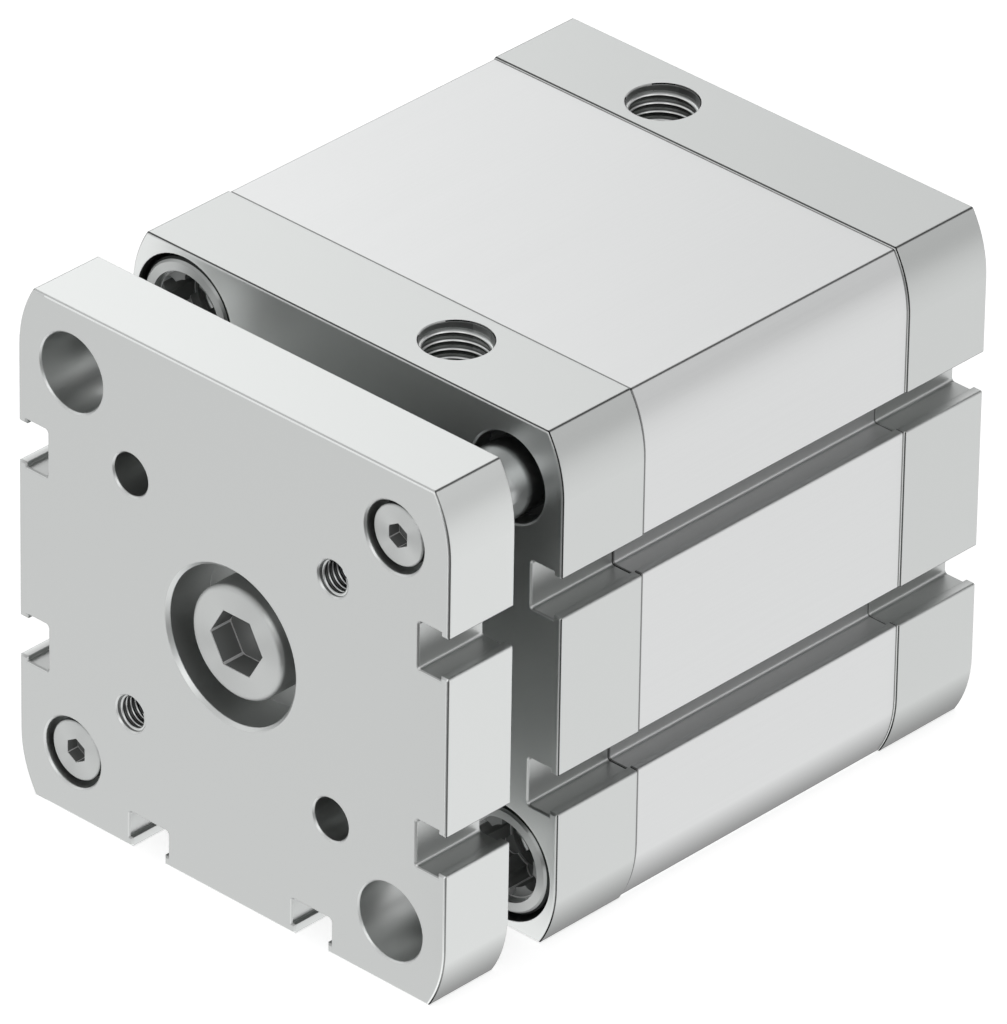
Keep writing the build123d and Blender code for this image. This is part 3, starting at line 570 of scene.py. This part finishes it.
def tapped_finish(name, outward, lit, hidden):
    """Cut metal that is bright where it faces outward and dark where it faces inward."""
    material, tree, output = new_material(name)
    facing = add(tree, "ShaderNodeTexCoord").outputs["Normal"]
    facing = add(tree, "ShaderNodeVectorMath", {0: facing, 1: outward}, operation="DOT_PRODUCT")
    slope = add(tree, "ShaderNodeMapRange", {
        "Value": facing.outputs["Value"], "From Min": -0.2, "From Max": 0.6})
    place = add(tree, "ShaderNodeTexCoord").outputs["Object"]
    chatter = add(tree, "ShaderNodeTexNoise", {"Vector": place, "Scale": 1 / (0.3 * MM)})
    rough = add(tree, "ShaderNodeMapRange", {
        "Value": chatter.outputs["Fac"], "To Min": 0.25, "To Max": 0.35})
    tone = add(tree, "ShaderNodeMix", {"Factor": slope.outputs["Result"], "A": linear(hidden),
                                       "B": linear(lit)}, data_type="RGBA")
    shader = add(tree, "ShaderNodeBsdfPrincipled", {
        "Base Color": tone.outputs["Result"], "Metallic": 1.0,
        "Roughness": rough.outputs["Result"]})
    tree.links.new(shader.outputs[0], output.inputs["Surface"])
    return material


# %% [markdown]
# The M5 threads in the plate have a pitch of 0.8 mm and the M8 threads in the collar screws one
# of 1.25 mm. The ports' ridges follow the photograph, which shows them 1.27 mm apart, wider than
# a port thread of this size really has. Each ridge starts at one end of its thread and winds
# along the hole from there.

# %% Wind the threads
along_stroke = (radians(90), radians(200), 0.0)
plate_start = -yoke_rear - 0.5
port_start = half_side - 8.0
front_start = -cap_front + 26.5
rear_start = -7.3
wind_threads(
    "plate_threads",
    [(plate_hole, plate_start, plate_hole), (-plate_hole, plate_start, -plate_hole)],
    "moving_yoke",
    {"Radius": plate_thread_radius * MM, "Pitch": 0.8 * MM, "Depth": 0.43 * MM, "Crest": 0.2 * MM,
     "Length": 10.9 * MM, "Steps": 32, "Turn": along_stroke,
     "Finish": tapped_finish("tapped_plate_thread", (0.0, -1.0, 0.0), "#CED0CF", "#3A3C3B")})
wind_threads(
    "port_threads",
    [(port_reach, -port_stations["bearing_cap"], port_start),
     (-port_reach, -port_stations["end_cap"], port_start)],
    "cylinder_body",
    {"Radius": port_radius * MM, "Pitch": 1.27 * MM, "Depth": 0.6 * MM, "Crest": 0.2 * MM,
     "Length": 7.1 * MM, "Steps": 48, "Turn": (0.0, 0.0, radians(100)),
     "Finish": tapped_finish("tapped_port_thread", (0.0, 0.0, 1.0), "#DCDEDD", "#444645")})
wind_threads(
    "collar_threads",
    [(-corner, front_start, corner), (corner, front_start, -corner)]
    + [(x * corner, rear_start, z * corner) for x in (-1, 1) for z in (-1, 1)],
    "cylinder_body",
    {"Radius": collar_thread_radius * MM, "Pitch": 1.25 * MM, "Depth": 0.67 * MM,
     "Crest": 0.16 * MM, "Length": 19.0 * MM, "Steps": 32, "Turn": along_stroke,
     "Finish": tapped_finish("tapped_collar_thread", (0.0, -1.0, 0.0), "#C4C6C5", "#7A7C7B")})

# %% [markdown]
# ## Camera
# A camera was fitted to edge points of the photograph, so the part lands where it does there. It
# stands 1.7 m away with a long lens, which is why parallel edges stay nearly parallel.

# %% Camera at the photograph's angle
CAMERA_PLACE = (993.40, -1112.47, 880.19)
CAMERA_AXES = ((0.724749, 0.688870, 0.014028),
               (-0.365791, 0.367430, 0.855098),
               (0.583897, -0.624862, 0.518277))
camera = bpy.data.objects.new("camera", bpy.data.cameras.new("camera"))
bpy.context.scene.collection.objects.link(camera)
camera.data.sensor_fit = "VERTICAL"
camera.data.sensor_height = 36.0
camera.data.lens = 466.72
camera.matrix_world = (Matrix.Translation([c * MM for c in CAMERA_PLACE])
                       @ Matrix(CAMERA_AXES).transposed().to_4x4())
bpy.context.scene.camera = camera

# %% [markdown]
# ## Studio
# Metal shows what stands around it, so the studio matters as much as the finish. A white floor
# and a white world make the background, also for what the metal mirrors. A studio isn't equally
# bright all round, though: the gap between floor and walls and the ceiling between the lamps are
# darker, and photographers stand dark cards beside a shiny part, so that its rounded edges get a
# dark line. What the metal mirrors is therefore white on the walls, darker at their foot and
# overhead, and darkest at two cards: one on the floor at the front right, and one above the back.
# The camera sees neither. A few big soft lamps give each side its own level, and they are weak,
# because on metal a lamp adds to what is mirrored already.

# %% Floor
CARD_LEFT = (25.0, 45.0)     # where the floor's card begins and where it is full in mm
CARD_BACK = (-108.0, -130.0)
FLOOR_MIRRORED = 1.07        # strength of the floor in the metal
CARD_MIRRORED = 0.18         # and of the card on it
floor_finish, tree, output = new_material("studio_floor")
rays = add(tree, "ShaderNodeLightPath").outputs
straight = add(tree, "ShaderNodeMath", {0: rays["Is Camera Ray"], 1: rays["Is Transmission Ray"]},
               operation="MAXIMUM")
glow = add(tree, "ShaderNodeEmission", {"Color": linear("#FFFFFF"), "Strength": 0.72})
place = add(tree, "ShaderNodeSeparateXYZ", {
    0: add(tree, "ShaderNodeTexCoord").outputs["Object"]}).outputs
to_right = add(tree, "ShaderNodeMapRange", {
    "Value": place["X"], "From Min": CARD_LEFT[0] * MM, "From Max": CARD_LEFT[1] * MM})
to_front_edge = add(tree, "ShaderNodeMapRange", {
    "Value": place["Y"], "From Min": CARD_BACK[0] * MM, "From Max": CARD_BACK[1] * MM})
card = add(tree, "ShaderNodeMath", {0: to_right.outputs[0], 1: to_front_edge.outputs[0]},
           operation="MULTIPLY")
mirror_level = add(tree, "ShaderNodeMapRange", {
    "Value": card.outputs[0], "To Min": FLOOR_MIRRORED, "To Max": CARD_MIRRORED})
mirrored = add(tree, "ShaderNodeEmission", {"Color": linear("#FFFFFF"),
                                            "Strength": mirror_level.outputs["Result"]})
matt = add(tree, "ShaderNodeBsdfDiffuse", {"Color": linear("#E6E6E6")})
both = add(tree, "ShaderNodeAddShader", {0: glow.outputs[0], 1: matt.outputs[0]})
mixed = add(tree, "ShaderNodeMixShader", {
    0: straight.outputs[0], 1: matt.outputs[0], 2: both.outputs[0]})
mixed = add(tree, "ShaderNodeMixShader", {
    0: rays["Is Glossy Ray"], 1: mixed.outputs[0], 2: mirrored.outputs[0]})
tree.links.new(mixed.outputs[0], output.inputs["Surface"])
floor_mesh = bpy.data.meshes.new("studio_floor")
reach = 4.0          # half the floor's side in metres
height = -half_side * MM
floor_mesh.from_pydata([(-reach, -reach, height), (reach, -reach, height),
                        (reach, reach, height), (-reach, reach, height)], [], [(0, 1, 2, 3)])
floor = bpy.data.objects.new("studio_floor", floor_mesh)
bpy.context.scene.collection.objects.link(floor)
floor_mesh.materials.append(floor_finish)

# %% World
CARD_DIRECTION = (0.25, 0.63, 0.735)  # from the part to the card above the back
world = bpy.data.worlds.new("studio_world")
world.use_nodes = True
bpy.context.scene.world = world
tree = world.node_tree
tree.nodes.clear()
output = add(tree, "ShaderNodeOutputWorld")
rays = add(tree, "ShaderNodeLightPath").outputs
seen = add(tree, "ShaderNodeMath", {0: rays["Is Camera Ray"], 1: rays["Is Glossy Ray"]},
           operation="MAXIMUM")
seen = add(tree, "ShaderNodeMath", {0: seen.outputs[0], 1: rays["Is Transmission Ray"]},
           operation="MAXIMUM")
toward = add(tree, "ShaderNodeTexCoord").outputs["Generated"]
rise = add(tree, "ShaderNodeSeparateXYZ", {0: toward}).outputs["Z"]
wall_light = add(tree, "ShaderNodeMapRange", {
    "Value": rise, "From Min": 0.02, "From Max": 0.30, "To Min": 0.50, "To Max": 1.0},
    interpolation_type="SMOOTHSTEP")
ceiling_light = add(tree, "ShaderNodeMapRange", {
    "Value": rise, "From Min": 0.60, "From Max": 0.76, "To Min": 1.0, "To Max": 0.45},
    interpolation_type="SMOOTHSTEP")
level = add(tree, "ShaderNodeMath", {0: wall_light.outputs[0], 1: ceiling_light.outputs[0]},
            operation="MULTIPLY")
toward_card = add(tree, "ShaderNodeVectorMath", {0: toward, 1: CARD_DIRECTION},
                  operation="DOT_PRODUCT")
card_light = add(tree, "ShaderNodeMapRange", {
    "Value": toward_card.outputs["Value"], "From Min": 0.84, "From Max": 0.97, "To Min": 1.0,
    "To Max": 0.25}, interpolation_type="SMOOTHSTEP")
level = add(tree, "ShaderNodeMath", {0: level.outputs[0], 1: card_light.outputs[0]},
            operation="MULTIPLY")
level = add(tree, "ShaderNodeMath", {0: level.outputs[0], 1: rays["Is Camera Ray"]},
            operation="MAXIMUM")
soft = add(tree, "ShaderNodeBackground", {"Color": linear("#FFFFFF"), "Strength": 0.45})
white = add(tree, "ShaderNodeBackground", {"Color": linear("#FFFFFF"),
                                           "Strength": level.outputs[0]})
mixed = add(tree, "ShaderNodeMixShader", {
    0: seen.outputs[0], 1: soft.outputs[0], 2: white.outputs[0]})
tree.links.new(mixed.outputs[0], output.inputs["Surface"])

# %% Lamps


def soft_lamp(name, place, size, power):
    """Square area lamp that faces the middle of the cylinder."""
    lamp = bpy.data.objects.new(name, bpy.data.lights.new(name, "AREA"))
    bpy.context.scene.collection.objects.link(lamp)
    lamp.data.size = size
    lamp.data.energy = power
    lamp.location = place
    away = lamp.location.copy()
    away.y += cap_front / 2 * MM
    lamp.rotation_euler = away.to_track_quat("Z", "Y").to_euler()
    print(name, "size", size, "power", power)


soft_lamp("lamp_above", (-0.75, 0.355, 0.60), 0.6, 0.72)
soft_lamp("lamp_right", (1.3, 0.0, 0.6), 0.8, 1.2)
soft_lamp("lamp_front", (0.65, -1.26, 0.76), 0.6, 1.0)

# %% [markdown]
# The view transform is Standard, so a colour comes out about as it is written.

# %% Finish
bpy.context.scene.view_settings.view_transform = "Standard"
